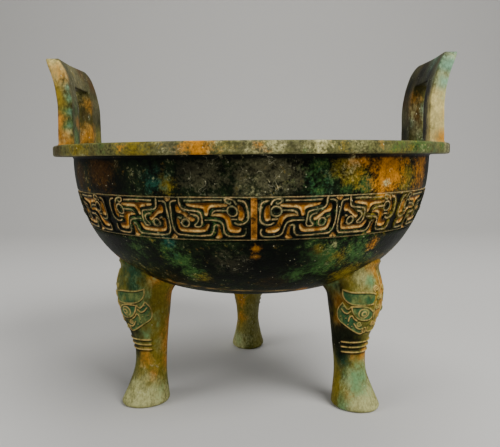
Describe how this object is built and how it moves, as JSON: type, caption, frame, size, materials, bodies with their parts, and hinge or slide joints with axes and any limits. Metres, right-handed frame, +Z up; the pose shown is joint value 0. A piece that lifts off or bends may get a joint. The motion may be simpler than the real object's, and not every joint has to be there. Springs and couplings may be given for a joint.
{
  "type": "bronze tripod vessel",
  "caption": "Round bronze cauldron with a flat rim, upright slotted handles, a scroll frieze and hoofed legs with beast masks.",
  "frame": {"origin": "on the vessel's axis, on the surface that its three feet stand on", "axes": "+Z up; the front of the frieze is towards -Y, and the two handles stand on the X axis"},
  "size_m": [0.243, 0.24, 0.2079],
  "materials": {
    "patinated_bronze": "cast bronze under a waxed green, ochre and near-black patina, with tan earth in its carving"
  },
  "bodies": {
    "root": {"ding_vessel": "patinated_bronze"}
  },
  "joints": []
}
